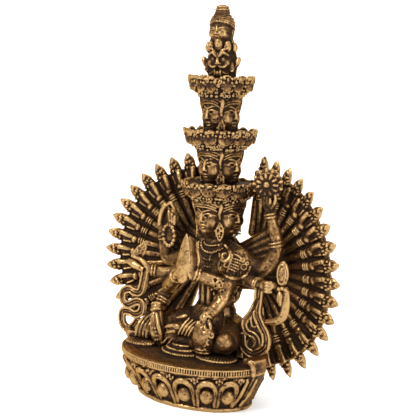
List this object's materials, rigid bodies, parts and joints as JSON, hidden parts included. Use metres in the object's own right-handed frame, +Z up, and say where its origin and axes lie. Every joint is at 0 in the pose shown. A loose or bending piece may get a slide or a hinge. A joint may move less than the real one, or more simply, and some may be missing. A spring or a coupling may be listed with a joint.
{
  "type": "avalokiteshvara statue",
  "caption": "Small cast brass many-headed, many-armed deity seated on an oval lotus base, with fans of hands behind.",
  "frame": {"origin": "middle of the base's underside", "axes": "+Z up along the tower of heads, -Y towards the statue's front, +X towards the statue's left"},
  "size_m": [0.1819, 0.0873, 0.2538],
  "materials": {
    "antique_brass": "cast brass with a dark brown patina in the hollows and rubbed golden high points"
  },
  "bodies": {
    "root": {"statue": "antique_brass"}
  },
  "joints": []
}
